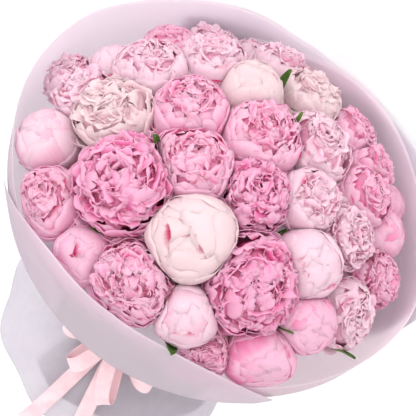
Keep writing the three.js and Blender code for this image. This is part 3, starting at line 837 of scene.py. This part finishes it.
def add_sheet(node, run, finish, flat, seed, gather, wave, above):
    angle = run.angle[None, :] * np.ones_like(run.height)
    z = run.height
    near_tie = 1 - smoothstep(np.abs(z), 20 * MM, 150 * MM)
    radius = run.radius + gather * MM * near_tie * (creases(angle, z, seed) + 0.6)
    far_from_tie = smoothstep(np.abs(z), 130 * MM, 330 * MM)
    radius = radius + wave * MM * flutter(angle, z, seed + 50) * far_from_tie
    grid = np.stack([radius * np.cos(angle), radius * np.sin(angle), z], -1)
    vertices, faces = shells(lay_on_floor(grid, above * MM)[None], PAPER_THICKNESS)
    piece = add_mesh("visible_" + node, vertices, faces, finish)
    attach(piece, "root")
    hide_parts(node)


# A height that every column of the sheet crosses, then the lowest and highest that are searched, mm.
WRAP_SPAN = (150, -20, 400)
# Flat size in metres; depth of the gathers at the tie, of the edge's waves, and room to the floor in mm.
SHEETS = [
    {"node": "wrap_sheet_right", "span": WRAP_SPAN, "finish": ROSE_PAPER, "flat": (0.74, 0.36),
     "seed": 7, "gather": 3.0, "wave": 2.5, "above": 13},
    {"node": "wrap_sheet_left", "span": WRAP_SPAN, "finish": LILAC_PAPER, "flat": (0.84, 0.40),
     "seed": 8, "gather": 3.0, "wave": 2.5, "above": 10},
    {"node": "wrap_sheet_front", "span": WRAP_SPAN, "finish": LILAC_PAPER, "flat": (0.48, 0.38),
     "seed": 9, "gather": 3.0, "wave": 3.0, "above": 7},
    {"node": "wrap_sheet_back", "span": WRAP_SPAN, "finish": GREY_PAPER, "flat": (0.58, 0.38),
     "seed": 10, "gather": 3.0, "wave": 4.0, "above": 4},
    {"node": "skirt_paper", "span": (-60, -140, 22), "finish": PAINTED_SHADE_PAPER, "flat": (0.56, 0.16),
     "seed": 11, "gather": 2.0, "wave": 4.0, "above": 3},
    {"node": "skirt_film", "span": (-60, -175, 22), "finish": FILM, "flat": (0.90, 0.20),
     "seed": 12, "gather": 6.0, "wave": 14.0, "above": 0.6},
]
for sheet in SHEETS:
    middle, low, high = (height * MM for height in sheet.pop("span"))
    add_sheet(run=SheetRun(sheet["node"], middle, low, high), **sheet)


# ---- ribbon --------------------------------------------------------------------------------------------
RIBBON_WIDTH = 25 * MM
RIBBON_THICKNESS = 0.35 * MM
knot_points = to_bunch(node_points("ribbon_knot"))
KNOT_FOOT = knot_points[:, 1].min()
KNOT_HALF = knot_points[:, 0].max()
PINCH = 0.2  # width at the knot, as a share of the full width
RIBBON_ROWS = 90
RIBBON_COLUMNS = 11
ROOT = 20  # where ribbons leave the knot, mm from its middle


def fanned(outward):
    return PINCH + (1 - PINCH) * smoothstep(outward, KNOT_HALF, 4 * KNOT_HALF)


def ribbon_strip(name, route, turn, pitch, seed, twist):
    """A satin ribbon that leaves the knot pinched, along a route of outward and upward places."""
    rng = np.random.default_rng(seed)
    share = np.linspace(0, 1, RIBBON_ROWS)
    line = smooth_line(np.array(route) * MM, share)
    pitch, turn = math.radians(pitch), math.radians(turn)
    out = line[:, 0] * math.cos(pitch) - line[:, 1] * math.sin(pitch)
    rise = line[:, 0] * math.sin(pitch) + line[:, 1] * math.cos(pitch)
    centre = np.stack([out * math.cos(turn), KNOT_FOOT + rise, out * math.sin(turn)], -1)
    ahead = np.gradient(centre, axis=0)
    ahead /= np.linalg.norm(ahead, axis=1, keepdims=True)
    across = np.array([-math.sin(turn), 0.0, math.cos(turn)]) * np.ones((RIBBON_ROWS, 1))
    side = np.cross(ahead, across)
    lean = twist * np.sin(math.pi * share)[:, None]
    across = across * np.cos(lean) + side * np.sin(lean)
    width = RIBBON_WIDTH * fanned(line[:, 0])[:, None]
    s = np.linspace(-0.5, 0.5, RIBBON_COLUMNS)[None, :]
    pleat = (1 - fanned(line[:, 0]))[:, None] * 2.4 * MM * np.cos(3 * math.pi * 2 * s + rng.uniform(0, 6))
    ripple = 1.1 * MM * np.sin(9 * share[:, None] + 3 * s + rng.uniform(0, 6)) * s * 2
    grid = (centre[:, None] + across[:, None] * (s * width)[..., None]
            + side[:, None] * (pleat + ripple)[..., None])
    vertices, faces = shells(to_world(grid)[None], RIBBON_THICKNESS)
    piece = add_mesh("satin_" + name, vertices, faces, SATIN)
    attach(piece, "root")
    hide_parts(name)


def loop_route(reach, rise):
    return [(ROOT, 4), (0.5 * reach, 0.12 * rise), (0.9 * reach, 0.25 * rise), (reach, 0.6 * rise),
            (0.86 * reach, rise), (0.5 * reach, 0.85 * rise), (ROOT, 8)]


# Each loop's turn about the knot in degrees, reach and rise in mm, pitch in degrees, and twist.
LOOPS = [
    ("ribbon_loop_left", -166, 100, 30, 26, 0.25),
    ("ribbon_loop_right", -12, 90, 30, 26, -0.25),
    ("ribbon_loop_lower_left", -128, 122, 32, 50, 0.3),
    ("ribbon_loop_lower_right", -50, 104, 30, 50, -0.3),
]
for seed, (name, turn, reach, rise, pitch, twist) in enumerate(LOOPS):
    ribbon_strip(name, loop_route(reach, rise), turn, pitch, seed + 20, twist)
TAIL_ROUTE = [(ROOT, 8), (34, 26), (50, 50), (80, 84), (110, 114), (140, 136), (168, 150)]
ribbon_strip("ribbon_tail_left", TAIL_ROUTE, -103, 0, 30, 0.12)
ribbon_strip("ribbon_tail_right", TAIL_ROUTE, -75, 0, 31, -0.15)


def add_band():
    """The ribbon round the waist, a little bunched, its ends hidden under the knot."""
    points = to_bunch(node_points("ribbon_band"))
    radius = np.linalg.norm(points[:, :2], axis=1).max() - 0.5 * MM
    turn = np.radians(np.linspace(92, 448, 180))[None, :]
    s = np.linspace(-0.5, 0.5, 13)[:, None]
    near_knot = np.exp(-(((turn - math.radians(270)) - math.pi) / 0.4) ** 2)
    near_knot = near_knot + np.exp(-(((turn - math.radians(270)) + math.pi) / 0.4) ** 2)
    height = s * RIBBON_WIDTH * (1 - 0.35 * near_knot)
    reach = radius + 0.5 * MM * np.sin(8 * s * math.pi + 3 * np.sin(2 * turn) + turn) + 0 * turn
    grid = np.stack([reach * np.cos(turn), reach * np.sin(turn), height + 0 * turn], -1)
    vertices, faces = shells(to_world(grid)[None], RIBBON_THICKNESS)
    piece = add_mesh("satin_ribbon_band", vertices, faces, SATIN)
    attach(piece, "root")
    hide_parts("ribbon_band")


def add_knot():
    """The knot: a tight cushion of satin with folds that run over it."""
    low, high = knot_points.min(0), knot_points.max(0)
    middle, half = (low + high) / 2, (high - low) / 2
    polar = np.linspace(0.02, math.pi - 0.02, 40)[:, None]
    turn = np.linspace(0, 2 * math.pi, 80, endpoint=False)[None, :]
    x = np.cos(polar) + 0 * turn
    y, z = np.sin(polar) * np.cos(turn), np.sin(polar) * np.sin(turn)
    fold = 1 + 0.05 * np.sin(5 * turn + 2.2 * x) + 0.03 * np.sin(11 * turn - 3 * x)
    grid = np.stack([x, y * fold, z * fold], -1) * half + middle
    rows, columns = grid.shape[:2]
    index = np.arange(rows * columns).reshape(rows, columns)
    after = np.roll(index, -1, 1)
    faces = np.stack([index[:-1], index[1:], after[1:], after[:-1]], -1).reshape(-1, 4).tolist()
    faces.append(index[0].tolist())
    faces.append(index[-1][::-1].tolist())
    piece = add_solid("satin_ribbon_knot", to_world(grid.reshape(-1, 3)), faces, SATIN)
    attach(piece, "root")
    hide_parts("ribbon_knot")


add_band()
add_knot()
frame["nodes"]["tying_twine"].data.materials.clear()
frame["nodes"]["tying_twine"].data.materials.append(JUTE)


# ---- floor and light ----------------------------------------------------------------------------------
def add_floor():
    size = 6.0
    floor = add_mesh("floor", [(-size, -size, 0), (size, -size, 0), (size, size, 0), (-size, size, 0)],
                     [(0, 1, 2, 3)], pale_floor())


def pale_floor():
    shader = Shader("pale_floor")
    where = shader.node("ShaderNodeTexCoord").outputs["Object"]
    cloud = shader.noise(where, 1.5, 1.0)
    color = shader.ramp(cloud, [(0.3, linear((250, 250, 250))), (0.7, linear((253, 253, 253)))])
    matt = shader.node("ShaderNodeBsdfPrincipled", {"Base Color": color, "Roughness": 0.9})
    return shader.finish(matt.outputs[0])


def add_light(name, place, size, power):
    data = bpy.data.lights.new(name, "AREA")
    data.size = size
    data.energy = power
    light = bpy.data.objects.new(name, data)
    light.location = place
    aim = Vector((0, -0.15, 0.25)) - Vector(place)
    light.rotation_euler = aim.to_track_quat("-Z", "Y").to_euler()
    bpy.context.scene.collection.objects.link(light)


add_floor()
add_light("window", (0.9, -2.4, 0.9), 2.4, 25)
add_light("overhead", (0.3, -1.6, 2.2), 2.6, 20)
world = bpy.data.worlds.new("studio")
world.use_nodes = True
world.node_tree.nodes["Background"].inputs["Color"].default_value = (1, 1, 1, 1)
world.node_tree.nodes["Background"].inputs["Strength"].default_value = 1.12
bpy.context.scene.world = world
bpy.context.scene.view_settings.view_transform = "Standard"
